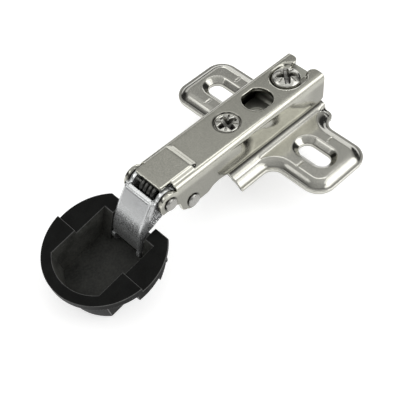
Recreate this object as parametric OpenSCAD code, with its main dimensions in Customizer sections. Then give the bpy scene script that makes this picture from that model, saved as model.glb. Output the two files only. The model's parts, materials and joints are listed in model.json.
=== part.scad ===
// Concealed cup hinge for a glass cabinet door, shown open on its cross mounting plate.
// X runs along the arm towards the cup, Y across it, Z away from the cabinet wall.
// The origin is midway between the two fixing slots, on the underside of the plate.

/* [Mounting plate] */
// distance between the two fixing slots
hole_pitch = 32; // [31:0.5:33]
// full width across both wings
wing_span = 52.2; // [51:0.2:55]
// length of a wing along the arm
wing_length = 19.2; // [18.6:0.2:20.4]
// height of the raised wing top above the wall
wing_rise = 2.3; // [2.2:0.1:2.4]
// sheet of the mounting plate
plate_sheet = 1.0; // [0.9:0.05:1.1]
// width of a fixing slot
slot_w = 4.4; // [4:0.1:4.6]
// length of a fixing slot between its round ends' centres
slot_run = 4.6; // [4:0.2:5]

/* [Hinge arm] */
// outside width of the arm
arm_w = 12.8; // [12.6:0.1:13.2]
// sheet of the arm
arm_sheet = 1.2; // [1.1:0.05:1.25]
// height of the arm's top face above the wall
arm_top = 12.2; // [12:0.1:12.6]
// distance from the fixing slots' line to the front pivot
arm_reach = 39.1; // [38.7:0.1:40.3]
// lift of the raised nose panel above the top face
nose_lift = 1.0; // [0.8:0.1:1.1]

/* [Screws] */
// diameter of the clamp screw's head
clamp_head_d = 7.2; // [6.8:0.1:7.6]
// diameter of the side adjusting screw
side_screw_d = 6.0; // [5.6:0.1:6.2]

/* [Linkage] */
// diameter of the four pivot pins
pin_d = 2.2; // [2:0.05:2.3]
// sheet of the two links
link_sheet = 1.1; // [1:0.05:1.15]
// wire of the closing spring
wire_d = 1.25; // [1.1:0.05:1.3]
// turns of the closing spring
turns = 5; // [4:1:5]

/* [Cup] */
// diameter of the boss that drops into the glass
boss_d = 26; // [25.8:0.1:26.2]
// diameter of the flange
flange_d = 30.2; // [29.8:0.1:30.8]
// depth of the cup below its front rim
cup_depth = 10.1; // [10:0.1:10.6]

/* [Hidden] */
$fn = 72;
eps = 0.01;
run_gap = 0.05;
side_gap = 0.1;
slide_gap = 0.2;
link_gap = 0.25;
cheek_gap = 0.65;

// plate values
wing_x = wing_length / 2;
wing_y = wing_span / 2;
lip = 1.0;
lip_h = 0.9;
corner_r = 5;
root_r = 3;
roll_r = 1.3;
ridge_rear = -14;
ridge_front = 20.2;
ridge_foot = 10.7;
bend_y = 8.4;
sink_r = slot_w / 2 + 1.6;
sink_floor = wing_rise - 1.3;
dimple_wall = 0.8;

// arm values
arm_y = arm_w / 2;
arm_in = arm_y - arm_sheet;
edge_r = 1.6;
arm_rear = -14.2;
shoulder_x = arm_reach - 2.4;
tongue_x = arm_reach + 1.0;
tongue_y = 4.2;
panel_long = 10.5;
panel_x = arm_reach - panel_long;
panel_y = 4.7;
panel_slope = 1.4;
flange_z = 3.4;
dish_drop = 0.9;
dish_r = clamp_head_d / 2 + 0.8;
dish_run = 1.5;
clamp_x = -6.9;
access_x = 3.6;
access_r = 3.95;
access_y = 3.55;
side_x = 14.2;
side_r = side_screw_d / 2;
collar_z = arm_top - 3.2;
relief = 0.45;
flush = 0.1;
clamp_r = 2;
clamp_reach = 5;
crown_h = 2.1;
crown_r = 6.25;
recess_arm = 1.4;

// ridge of the plate, inside the arm
ridge_y = arm_in - slide_gap;
ridge_z = arm_top - arm_sheet - dish_drop - side_gap;
saddle_z = ridge_z - 2.4;
saddle_x = -1.5;
saddle_hole_x = access_x + 0.4;
saddle_hole_r = 1.8;
collar_wall = 1.1;
collar_deep = 2;
foot_r = 2.4;
neck_r = 1.6;
foot_h = 1;
shank_gap = 0.5;
foot_z = saddle_z - plate_sheet - 0.3;

// pivots in the XZ plane
pin_r = pin_d / 2;
front_pin_z = 8.8;
rear_pin_z = 4.4;
rear_pin_back = 6.8;
front_pin = [arm_reach, front_pin_z];
rear_pin = [arm_reach - rear_pin_back, rear_pin_z];
head_r = pin_r + 0.65;
head_h = 0.7;
ear_r = 3.2;
ear_floor = front_pin[1] - 2.05;

// cup placed open
cup_reach = 16.13;
cup_x = arm_reach + cup_reach;
cup_z = 2.47;
cup_tilt = 10.93;
flange_r = flange_d / 2;
boss_r = boss_d / 2;
front_rim = 1.9;
rear_drop = 1.2;
step_x = 1.5;
chord_x = -11.4;
pocket_y = 8.55;
boss_y = pocket_y + 0.65;
pocket_r = boss_r - 0.6;
floor_wall = 1.1;
floor_z = floor_wall - cup_depth;
sill_z = -6.3;
low_pin = [-6.6, -6.9];
top_pin = [-9.0, -3.0];
cheek_pin = pocket_y - 0.25;
back_lean = 1.9;
back_top = 2.2;
pocket_wall = 1.1;
sill_reach = 3;
cut_past = 5;

// the lower cup pin and the outer link's own line, in the XZ plane
low_x = cup_x + low_pin[0] * cos(cup_tilt) + low_pin[1] * sin(cup_tilt);
low_z = cup_z - low_pin[0] * sin(cup_tilt) + low_pin[1] * cos(cup_tilt);
top_x = cup_x + top_pin[0] * cos(cup_tilt) + top_pin[1] * sin(cup_tilt);
top_z = cup_z - top_pin[0] * sin(cup_tilt) + top_pin[1] * cos(cup_tilt);
link_len = norm([front_pin[0] - low_x, front_pin[1] - low_z]);
link_turn = atan2(front_pin[1] - low_z, front_pin[0] - low_x);
link_y = arm_in - link_gap;
link_in = link_y - link_sheet;
cheek_y = link_y + cheek_gap;
eye_r = pin_r + 0.8;
ear_eye_r = pin_r + 0.65;
curl_r = 3;
front_top = link_len - 0.3;
front_bow = 2.8;
front_cut = link_sheet * tan(link_turn - 90);
front_line = [for (u = [0.3, 1.2, 2.4, 4, 6.2, 9, front_top])
              [u, eye_r + front_bow * (1 - pow(1 - u / front_top, 3.5))]];

// the inner link's own line
inner_len = norm([top_x - rear_pin[0], top_z - rear_pin[1]]);
inner_turn = atan2(top_z - rear_pin[1], top_x - rear_pin[0]);
bar_y = 2.2;
bar_half = 1.3;
fork_root = 4.2;
prong = 0.7;
fork_half = pin_r + 0.64;
fork_lift = 0.17;
fork_back = 2.06 + pin_r + 0.25;

// spring
wire_r = wire_d / 2;
coil_r = 2.5;
coil_y = turns * wire_d / 2;
arm_leg = 8;
link_leg = 5.8;

// draws a shape given in the XZ plane as a slab between two Y values
module slab(y0, y1)
  translate([0, y1, 0])
    rotate([90, 0, 0])
      linear_extrude(y1 - y0) children();

// places a shape drawn along the outer link, u from the lower cup pin, v outwards
module on_outer_link()
  translate([low_x, low_z]) rotate(link_turn) mirror([0, 1]) children();

// places a shape drawn along the inner link, u from the rear arm pin, v upwards
module on_inner_link()
  translate(rear_pin) rotate(inner_turn) children();

module in_cup()
  translate([cup_x, 0, cup_z]) rotate([0, cup_tilt, 0]) children();

module round_box(half_x, half_y, r) {
  square([2 * half_x - 2 * r, 2 * half_y], center = true);
  square([2 * half_x, 2 * half_y - 2 * r], center = true);
  for (sx = [-1, 1], sy = [-1, 1])
    translate([sx * (half_x - r), sy * (half_y - r)]) circle(r);
}

// round-topped bar profile standing on zero
module crowned(half, high, r) {
  translate([-half, 0]) square([2 * half, high - r]);
  translate([-half + r, 0]) square([2 * half - 2 * r, high]);
  for (s = [-1, 1])
    translate([s * (half - r), high - r]) circle(r);
}

module obround(run, r) {
  square([2 * r, run], center = true);
  for (s = [-1, 1]) translate([0, s * run / 2]) circle(r);
}

// outline of the plate's foot, drawn in by a stated inset
module foot_outline(inset) {
  hx = wing_x - inset;
  ry = ridge_foot - inset;
  round_box(hx, wing_y - inset, corner_r - inset);
  translate([ridge_rear + inset, -ry])
    square([ridge_front - ridge_rear - 2 * inset, 2 * ry]);
  r = root_r + inset;
  for (sx = [-1, 1], sy = [-1, 1])
    translate([sx * hx, sy * ry])
      difference() {
        translate([sx < 0 ? -r : -eps, sy < 0 ? -r : -eps]) square(r + eps);
        translate([sx * r, sy * r]) circle(r);
      }
}

// half of the ridge's flared hat section, drawn to the sheet's upper side
module hat_half(top_z) {
  flank_top = flange_z - 0.35;
  polygon([[0, 0], [ridge_foot - lip, 0], [ridge_foot - lip, lip_h],
           [ridge_foot - lip - 0.5, 1.05], [ridge_foot - lip - 0.9, 1.5],
           [bend_y, wing_rise - 0.15], [bend_y - 0.6, wing_rise],
           [ridge_y + 0.6, flank_top], [ridge_y + 0.15, flank_top + 0.35],
           [ridge_y, flank_top + 1], [ridge_y, top_z - 1.2],
           [ridge_y - 0.35, top_z - 0.35], [ridge_y - 1.2, top_z], [0, top_z]]);
}

// the same section under the sheet
module hollow_half(top_z) {
  s = plate_sheet;
  under = flange_z - 0.35 - s;
  polygon([[0, -eps], [ridge_foot - lip - s, -eps], [ridge_foot - lip - s - 0.9, wing_rise - s],
           [ridge_y - s + 0.7, under], [ridge_y - s, under + 1],
           [ridge_y - s, top_z - s - 0.5], [ridge_y - s - 0.5, top_z - s], [0, top_z - s]]);
}

module hat_bar(x0, x1)
  translate([x0, 0, 0])
    rotate([90, 0, 90])
      linear_extrude(x1 - x0) {
        children();
        mirror([1, 0]) children();
      }

module plate_skin() {
  linear_extrude(lip_h) foot_outline(0);
  hat_bar(ridge_rear, saddle_x) hat_half(ridge_z);
  hat_bar(saddle_x - eps, ridge_front) hat_half(saddle_z);
  intersection() {
    linear_extrude(wing_rise) round_box(wing_x - lip, wing_y - lip, corner_r - lip);
    slab(-wing_y, wing_y) crowned(wing_x - lip, wing_rise, roll_r);
    translate([-wing_x, 0, 0])
      rotate([90, 0, 90])
        linear_extrude(wing_length) crowned(wing_y - lip, wing_rise, roll_r);
  }
}

module plate_hollow() {
  s = plate_sheet;
  translate([0, 0, -eps])
    linear_extrude(wing_rise - s + eps)
      round_box(wing_x - lip - s, wing_y - lip - s, corner_r - lip - s);
  hat_bar(ridge_rear - 1, saddle_x - s) hollow_half(ridge_z);
  hat_bar(saddle_x - s - eps, ridge_front + 1) hollow_half(saddle_z);
}

module fixing_slot(y) {
  translate([0, y, sink_floor])
    for (s = [-1, 1])
      translate([0, s * slot_run / 2, 0])
        cylinder(h = wing_rise - sink_floor + eps, r1 = slot_w / 2, r2 = sink_r + eps);
  translate([0, y + slot_run / 2, 0])
    rotate([90, 0, 0])
      linear_extrude(slot_run)
        polygon([[-slot_w / 2, sink_floor], [slot_w / 2, sink_floor],
                 [sink_r + eps, wing_rise + eps], [-sink_r - eps, wing_rise + eps]]);
  translate([0, y, -eps]) linear_extrude(wing_rise) obround(slot_run, slot_w / 2);
}

module centre_mark(x, y)
  translate([x, y, wing_rise]) rotate([45, 0, 0]) cube([1.8, 0.36, 0.36], center = true);

// collar drawn down out of the sheet round a hole in the ridge
module drawn_collar(x, top_z, hole_r)
  translate([x, 0, top_z - plate_sheet - collar_deep])
    cylinder(h = collar_deep + plate_sheet / 5, r = hole_r + collar_wall);

module mounting_plate()
  color("silver")
    difference() {
      union() {
        difference() {
          plate_skin();
          plate_hollow();
        }
        for (s = [-1, 1])
          translate([0, s * hole_pitch / 2, sink_floor - 0.6])
            linear_extrude(wing_rise - sink_floor)
              obround(slot_run, sink_r + dimple_wall);
        drawn_collar(clamp_x, ridge_z, clamp_r + run_gap);
        drawn_collar(saddle_hole_x, saddle_z, saddle_hole_r);
      }
      for (s = [-1, 1]) {
        fixing_slot(s * hole_pitch / 2);
        for (m = [-1, 1]) centre_mark(m * 5.5, s * hole_pitch / 2);
      }
      translate([clamp_x, 0, 0]) cylinder(h = ridge_z + 1, r = clamp_r + run_gap);
      translate([saddle_hole_x, 0, 0]) cylinder(h = ridge_z + 1, r = saddle_hole_r);
      translate([side_x - 0.5, 0, saddle_z - plate_sheet - 1])
        linear_extrude(plate_sheet + 2) {
          circle(neck_r + 0.2);
          translate([0, -neck_r - 0.2]) square([ridge_front, 2 * neck_r + 0.4]);
        }
    }

// cross recess with four tapering arms
module cross_recess(w, deep) {
  for (a = [0, 90])
    rotate([90, 0, a])
      translate([0, 0, -recess_arm / 2])
        linear_extrude(recess_arm)
          polygon([[-w / 2, eps], [w / 2, eps], [w / 5, -deep], [-w / 5, -deep]]);
}

module clamp_screw()
  color("gainsboro") {
    seat = arm_top - dish_drop;
    translate([clamp_x, 0, 0])
      difference() {
        union() {
          translate([0, 0, ridge_z - clamp_reach])
            cylinder(h = seat - ridge_z + clamp_reach, r = clamp_r);
          translate([0, 0, seat])
            rotate_extrude()
              intersection() {
                square([clamp_head_d / 2, crown_h]);
                translate([0, crown_h - crown_r]) circle(crown_r);
              }
        }
        translate([0, 0, seat + crown_h]) rotate(20) cross_recess(5.2, 2);
      }
  }

// one side wall of the arm with its two pivot lobes
module arm_side() {
  difference() {
    union() {
      polygon([[arm_rear, flange_z + 1], [arm_rear + 0.8, flange_z],
               [ridge_front + 0.3, flange_z + 0.2], [ridge_front + 3.2, flange_z + 0.7],
               [ridge_front + 5.4, flange_z + 0.4], [rear_pin[0] - 4.9, flange_z - 0.7],
               [rear_pin[0] + 2.3, flange_z - 0.8], [rear_pin[0] + 3.4, flange_z - 0.1],
               [rear_pin[0] + 4.1, ear_floor - 0.55], [rear_pin[0] + 4.9, ear_floor - 0.05],
               [front_pin[0] + 1.3, ear_floor + 0.05],
               [shoulder_x + 0.4, arm_top - edge_r + 0.3],
               [shoulder_x, arm_top - edge_r], [arm_rear, arm_top - edge_r]]);
      translate(front_pin) circle(ear_r);
      translate(rear_pin) circle(2.7);
    }
    translate([front_pin[0] + 0.9, ear_floor - ear_r]) square(ear_r);
    translate(front_pin) circle(pin_r);
    translate(rear_pin) circle(pin_r);
  }
}

// channel of the arm before its holes are cut
module arm_channel() {
  difference() {
    translate([arm_rear, 0, 0])
      rotate([90, 0, 90])
        linear_extrude(shoulder_x - arm_rear)
          difference() {
            crowned(arm_y, arm_top, edge_r);
            crowned(arm_in, arm_top - arm_sheet, edge_r - arm_sheet + 0.4);
            translate([-arm_w, -eps]) square([2 * arm_w, arm_top - edge_r]);
          }
    translate([panel_x, 0, arm_top - arm_sheet - 1])
      linear_extrude(arm_sheet + 2) nose_plan(0);
  }
  for (s = [0, 1])
    mirror([0, s, 0]) slab(arm_in, arm_y) arm_side();
}

// plan of the raised nose panel, from its rounded rear step to the tongue
module nose_plan(inset) {
  r = 2 - inset;
  translate([inset, -panel_y + r + inset])
    square([shoulder_x - panel_x - inset + eps, 2 * panel_y - 2 * r - 2 * inset]);
  translate([r + inset, -panel_y + inset])
    square([shoulder_x - panel_x - r - inset + eps, 2 * panel_y - 2 * inset]);
  for (s = [-1, 1])
    translate([r + inset, s * (panel_y - r - inset)]) circle(r);
}

module nose_panel() {
  difference() {
    translate([panel_x, 0, arm_top - arm_sheet])
      linear_extrude(arm_sheet + nose_lift) nose_plan(0);
    translate([panel_x, 0, arm_top - arm_sheet - eps])
      linear_extrude(nose_lift + eps) nose_plan(arm_sheet);
    slab(-arm_y, arm_y)
      polygon([[panel_x - eps, arm_top], [panel_x + panel_slope, arm_top + nose_lift + eps],
               [panel_x - eps, arm_top + nose_lift + eps]]);
  }
  translate([shoulder_x - eps, -tongue_y, arm_top + nose_lift - arm_sheet])
    cube([tongue_x - shoulder_x + eps, 2 * tongue_y, arm_sheet]);
}

module arm_dish() {
  translate([clamp_x - dish_run, 0, 0])
    linear_extrude(2 * arm_top) {
      circle(dish_r);
      translate([dish_run, 0]) circle(dish_r);
      translate([0, -dish_r]) square([dish_run, 2 * dish_r]);
    }
}

module hinge_arm()
  color("silver") {
    difference() {
      union() {
        arm_channel();
        nose_panel();
        intersection() {
          arm_dish();
          translate([arm_rear, -arm_in - eps, arm_top - arm_sheet - dish_drop])
            cube([access_x - arm_rear, 2 * arm_in + 2 * eps, arm_sheet + dish_drop]);
        }
        translate([side_x, 0, collar_z])
          cylinder(h = arm_top - collar_z - arm_sheet / 2, r = side_r + 1.1);
      }
      intersection() {
        translate([0, 0, arm_top - dish_drop]) arm_dish_cut();
        translate([arm_rear - cut_past, -arm_y, 0]) cube([side_x - arm_rear, arm_w, 2 * arm_top]);
      }
      rear_slot();
      translate([access_x, 0, arm_top - arm_sheet - 1])
        linear_extrude(arm_sheet + 2)
          intersection() {
            circle(access_r);
            square([3 * access_r, 2 * access_y], center = true);
          }
      translate([side_x, 0, collar_z - 1]) cylinder(h = arm_top, r = side_r + run_gap);
      translate([side_x, 0, arm_top - relief]) cylinder(h = 1, r = side_r + relief);
    }
  }

// hollow of the dished seat, one sheet inside the dish's outer wall
module arm_dish_cut()
  linear_extrude(2 * arm_top)
    translate([clamp_x - dish_run, 0]) {
      circle(dish_r - 0.3);
      translate([dish_run, 0]) circle(dish_r - 0.3);
      translate([0, -dish_r + 0.3]) square([dish_run, 2 * dish_r - 0.6]);
    }

// slot for the clamp screw, open at the rear between two rounded prongs
module rear_slot() {
  w = 2.3;
  r = 1.6;
  translate([0, 0, arm_top - arm_sheet - dish_drop - 1])
    linear_extrude(arm_sheet + dish_drop + 2) {
      translate([clamp_x + 0.7, 0]) circle(w);
      translate([arm_rear - 1, -w]) square([clamp_x + 0.7 - arm_rear + 1, 2 * w]);
      for (s = [-1, 1])
        translate([arm_rear, s * w])
          difference() {
            translate([-1, s < 0 ? -r : -eps]) square([r + 1, r + eps]);
            translate([r, s * r]) circle(r);
          }
    }
}

module side_adjust_screw()
  color("gainsboro")
    translate([side_x, 0, 0])
      difference() {
        union() {
          translate([0, 0, saddle_z + shank_gap])
            cylinder(h = arm_top - flush - saddle_z - shank_gap, r = side_r);
          translate([0, 0, foot_z])
            cylinder(h = saddle_z + shank_gap + eps - foot_z, r = neck_r);
          translate([0, 0, foot_z - foot_h]) cylinder(h = foot_h, r = foot_r);
        }
        translate([0, 0, arm_top - flush]) rotate(35) cross_recess(5, 2.3);
      }

// riveted pivot pin of the arm
module arm_pin(at)
  translate([at[0], 0, at[1]])
    rotate([90, 0, 0])
      union() {
        cylinder(h = arm_w, r = pin_r, center = true);
        for (s = [0, 1])
          mirror([0, 0, s])
            translate([0, 0, arm_y]) {
              cylinder(h = head_h / 2, r = head_r);
              translate([0, 0, head_h / 2]) cylinder(h = head_h / 2, r1 = head_r, r2 = head_r - 0.5);
            }
      }

module front_arm_pin() color("darkgray") arm_pin(front_pin);

module rear_arm_pin() color("darkgray") arm_pin(rear_pin);

// inner side of the bowed front wall, one sheet behind each point of its line
function behind_front(i) =
  let(a = front_line[max(i - 1, 0)],
      b = front_line[min(i + 1, len(front_line) - 1)],
      along = (b - a) / norm(b - a))
  front_line[i] + link_sheet * [along[1], -along[0]];

// bowed front wall of the outer link, u from the lower cup pin towards the arm
module link_wall()
  polygon(concat(front_line, [for (i = [len(front_line) - 1:-1:0]) behind_front(i)]));

// side cheek of the outer link between its two eyes, notched for the upper cup pin
module link_cheek() {
  difference() {
    union() {
      polygon(concat([[0, eye_r]], front_line,
                     [[link_len, curl_r], [link_len, -ear_eye_r], [12.5, -1.4], [10.3, -0.85],
                      [7.7, 0.65], [6.6, 1.4], [5.6, 2.3], [3.6, 2.45], [2.6, 1.2], [1.4, -1.1],
                      [0, -eye_r + 0.2]]));
      circle(eye_r);
      translate([link_len, 0]) {
        circle(ear_eye_r);
        intersection() {
          circle(curl_r);
          translate([-curl_r, -pin_r]) square(2 * curl_r);
        }
      }
    }
    circle(pin_r + run_gap);
    translate([link_len, 0]) circle(pin_r + run_gap);
  }
}

// level cut across the top of the outer link's front wall
module link_top_cut()
  polygon([[front_top - front_cut, eye_r + front_bow], [front_top, eye_r + front_bow - link_sheet],
           [front_top + link_sheet, eye_r + front_bow - link_sheet],
           [front_top + link_sheet, eye_r + front_bow + link_sheet],
           [front_top - front_cut, eye_r + front_bow + link_sheet]]);

module outer_link()
  color("lightgray")
    difference() {
      union() {
        slab(-link_y, link_y) on_outer_link() link_wall();
        for (s = [0, 1])
          mirror([0, s, 0]) slab(link_in, link_y) on_outer_link() link_cheek();
      }
      slab(-link_y - eps, link_y + eps) on_outer_link() link_top_cut();
    }

// bar of the inner link, its forked end open towards the cup pin
module inner_bar() {
  top = fork_lift + fork_half;
  low = fork_lift - fork_half;
  difference() {
    union() {
      translate([0, -bar_half]) square([fork_root + eps, 2 * bar_half]);
      translate([fork_root, low - prong]) square([inner_len - fork_root, top - low + 2 * prong]);
    }
    translate([inner_len - fork_back + fork_half, low]) square([fork_back, top - low]);
    translate([inner_len - fork_back + fork_half, fork_lift]) circle(fork_half);
    translate([inner_len - prong, top - eps]) square(fork_half);
    circle(pin_r + run_gap);
  }
}

// rolled eye of the inner link, as wide as the arm's inside
module inner_eye() {
  difference() {
    circle(eye_r);
    circle(pin_r + run_gap);
  }
}

module inner_link()
  color("lightgray") {
    slab(-link_y, link_y) on_inner_link() inner_eye();
    slab(-bar_y, bar_y) on_inner_link() inner_bar();
  }

module closing_spring()
  color("dimgray") {
    translate([front_pin[0], 0, front_pin[1]])
      rotate([90, 0, 0])
        for (i = [0:turns - 1])
          translate([0, 0, -coil_y + wire_r + i * wire_d])
            rotate_extrude() translate([coil_r, 0]) circle(wire_r + 0.02);
    translate([front_pin[0], coil_y - wire_r, front_pin[1] + coil_r])
      rotate([0, -90, 0]) cylinder(h = arm_leg, r = wire_r);
    slab_y = -coil_y + wire_r;
    translate([low_x, slab_y, low_z])
      rotate([0, -link_turn, 0])
        translate([link_len, 0, 0])
          translate([0, 0, -coil_r]) rotate([0, -90, 0]) cylinder(h = link_leg, r = wire_r);
  }

// side cheek inside the cup that holds the two pins
module cup_cheek()
  polygon([[chord_x - eps, floor_z - eps], [-3.9, floor_z - eps], [-4.6, -7.3],
           [-7.8, -rear_drop], [chord_x - eps, -rear_drop]]);

// underside of the flange's rear half, two ramps that bear on the glass
module ramp_side()
  polygon([[chord_x - 1, -0.8], [chord_x - 1, -front_rim], [-8, -front_rim], [-3.4, -4],
           [-3.4, -2.75], [-2.9, -2.75], [3.2, -3.75], [3.2, -0.8]]);

module cup_flange() {
  difference() {
    union() {
      translate([0, 0, -front_rim]) cylinder(h = front_rim, r = flange_r);
      intersection() {
        translate([0, 0, -cup_depth]) cylinder(h = cup_depth, r = flange_r);
        slab(-flange_r, flange_r) ramp_side();
      }
    }
    translate([step_x - 2 * flange_r, -flange_r, -rear_drop]) cube([2 * flange_r, flange_d, cut_past]);
    translate([chord_x - flange_r, -flange_r, -cup_depth - cut_past])
      cube([flange_r, flange_d, cup_depth + 2 * cut_past]);
  }
}

module cup_boss()
  translate([0, 0, -cup_depth])
    linear_extrude(cup_depth - front_rim + 0.4)
      intersection() {
        circle(boss_r);
        translate([chord_x, -boss_y]) square([2 * boss_r, 2 * boss_y]);
      }

module cup_pocket() {
  translate([0, 0, floor_z])
    linear_extrude(cup_depth + 1)
      intersection() {
        circle(pocket_r);
        translate([chord_x + pocket_wall, -pocket_y]) square([2 * boss_r, 2 * pocket_y]);
      }
  translate([chord_x - cut_past, -pocket_y, sill_z])
    cube([cut_past + sill_reach, 2 * pocket_y, cup_depth]);
}

// leaning rear face below the flange
module cup_back()
  polygon([[chord_x - cut_past, -back_top], [chord_x, -back_top],
           [chord_x + back_lean, -cup_depth - eps], [chord_x - cut_past, -cup_depth - eps]]);

module hinge_cup()
  color("dimgray")
    in_cup()
      difference() {
        union() {
          difference() {
            union() {
              cup_flange();
              cup_boss();
            }
            cup_pocket();
          }
          for (s = [0, 1])
            mirror([0, s, 0]) slab(cheek_y, pocket_y + 0.3) cup_cheek();
        }
        slab(-flange_r, flange_r) cup_back();
        for (p = [low_pin, top_pin])
          translate([p[0], 0, p[1]])
            rotate([90, 0, 0]) cylinder(h = 2 * cheek_pin, r = pin_r, center = true);
      }

module cup_pin(p)
  in_cup()
    translate([p[0], 0, p[1]])
      rotate([90, 0, 0]) cylinder(h = 2 * cheek_pin, r = pin_r, center = true);

module lower_cup_pin() color("darkgray") cup_pin(low_pin);

module upper_cup_pin() color("darkgray") cup_pin(top_pin);

mounting_plate();
clamp_screw();
hinge_arm();
side_adjust_screw();
front_arm_pin();
rear_arm_pin();
outer_link();
inner_link();
closing_spring();
hinge_cup();
lower_cup_pin();
upper_cup_pin();
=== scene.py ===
import json
import math

import bmesh
import bpy
import numpy as np
from mathutils import Matrix, Vector
from mathutils.geometry import delaunay_2d_cdt
from mathutils.kdtree import KDTree


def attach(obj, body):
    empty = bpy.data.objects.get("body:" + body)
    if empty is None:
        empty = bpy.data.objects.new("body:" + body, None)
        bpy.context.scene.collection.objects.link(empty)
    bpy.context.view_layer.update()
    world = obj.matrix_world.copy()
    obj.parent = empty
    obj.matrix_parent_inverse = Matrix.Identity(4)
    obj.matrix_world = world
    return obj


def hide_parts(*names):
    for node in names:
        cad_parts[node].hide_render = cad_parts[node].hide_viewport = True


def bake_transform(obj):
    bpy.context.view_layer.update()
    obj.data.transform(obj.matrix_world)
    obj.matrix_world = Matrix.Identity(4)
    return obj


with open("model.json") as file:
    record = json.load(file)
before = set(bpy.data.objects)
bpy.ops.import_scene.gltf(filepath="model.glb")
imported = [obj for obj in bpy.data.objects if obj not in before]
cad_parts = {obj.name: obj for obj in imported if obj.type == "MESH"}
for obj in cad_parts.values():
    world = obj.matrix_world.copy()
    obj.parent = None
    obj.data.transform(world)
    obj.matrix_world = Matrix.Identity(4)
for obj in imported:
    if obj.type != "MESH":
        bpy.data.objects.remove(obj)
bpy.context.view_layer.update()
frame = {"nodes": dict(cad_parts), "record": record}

# MOUNTING PLATE
# One pressing of nickel-plated steel that is screwed to the cabinet's side. Its foot lip
# lies on the wall, the wings stand up behind it and the ridge runs inside the arm.

MM = 0.001
plate_sheet = 1.0
wing_x, wing_y = 9.6, 26.1
wing_corner, wing_root = 5.0, 3.0
wing_top = 2.3
lip_top, lip_start, lip_run, lip_swell = 0.9, 0.7, 2.6, 1.9
ridge_rear, ridge_front, ridge_foot, rear_corner = -14.0, 20.2, 10.7, 2.0
ridge_half, ridge_flank, flank_y = 5.0, 3.5, 7.9
ridge_high, ridge_low, ridge_step = 10.0, 7.6, -1.5
slot_y, slot_r, slot_run = 16.0, 2.2, 4.6
sink_r, sink_deep, sink_soft = 3.8, 1.3, 0.07
mark_x, mark_long, mark_deep, mark_wide = 5.5, 0.9, 0.24, 0.22
ridge_hole_x, ridge_hole_r = 4.0, 1.8
clamp_x, clamp_hole_r = -6.9, 2.05
collar_wall, collar_deep = 1.1, 2.0
foot_slot_x, foot_slot_r = 13.7, 1.8
# gap_y and slope_line place painted shade: the dark band under the arm's edge and the dark line on the
# front slopes.
gap_y, slope_line = 6.72, 1.7


def arc(centre, radius, start, end, steps):
    """Points of an arc, with its angles in degrees."""
    t = np.radians(np.linspace(start, end, steps + 1))
    return np.stack([centre[0] + radius * np.cos(t), centre[1] + radius * np.sin(t)], 1)


def dense(points, gap):
    """The same line with no two points further apart than the gap."""
    points = np.asarray(points, float)
    out = []
    for start, end in zip(points[:-1], points[1:]):
        count = max(1, int(math.ceil(np.linalg.norm(end - start) / gap)))
        out.extend(start + (end - start) * k / count for k in range(count))
    out.append(points[-1])
    return np.array(out)


def bent_path(corners, radii):
    """A line through the corners, with each corner bent to its radius."""
    corners = np.asarray(corners, float)
    out = [corners[0]]
    for before, corner, after, bend in zip(corners[:-2], corners[1:-1], corners[2:], radii):
        back = (before - corner) / np.linalg.norm(before - corner)
        ahead = (after - corner) / np.linalg.norm(after - corner)
        half = math.acos(np.clip(back @ ahead, -1, 1)) / 2
        reach = bend / math.tan(half)
        centre = corner + (back + ahead) / np.linalg.norm(back + ahead) * bend / math.sin(half)
        start = corner + back * reach - centre
        end = corner + ahead * reach - centre
        for share in np.linspace(0, 1, 11):
            spoke = start * (1 - share) + end * share
            out.append(centre + spoke / np.linalg.norm(spoke) * bend)
    out.append(corners[-1])
    return np.array(out)


def ease(share):
    """A smooth step from 0 to 1."""
    share = np.clip(share, 0, 1)
    return share * share * (3 - 2 * share)


def shift_in(loop, inset):
    """A closed loop moved to its left, into the sheet."""
    along = np.roll(loop, -1, 0) - np.roll(loop, 1, 0)
    along /= np.maximum(np.linalg.norm(along, axis=1, keepdims=True), 1e-9)
    return loop + inset * np.stack([-along[:, 1], along[:, 0]], 1)


def inside(points, loops):
    """Which points lie in the sheet, by counting the edges that a ray crosses."""
    hit = np.zeros(len(points), bool)
    x, y = points[:, 0], points[:, 1]
    for loop in loops:
        for (x0, y0), (x1, y1) in zip(loop, np.roll(loop, -1, 0)):
            if y0 == y1:
                continue
            level = (y0 > y) != (y1 > y)
            hit ^= level & (x < (x1 - x0) * (y - y0) / (y1 - y0) + x0)
    return hit


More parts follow.
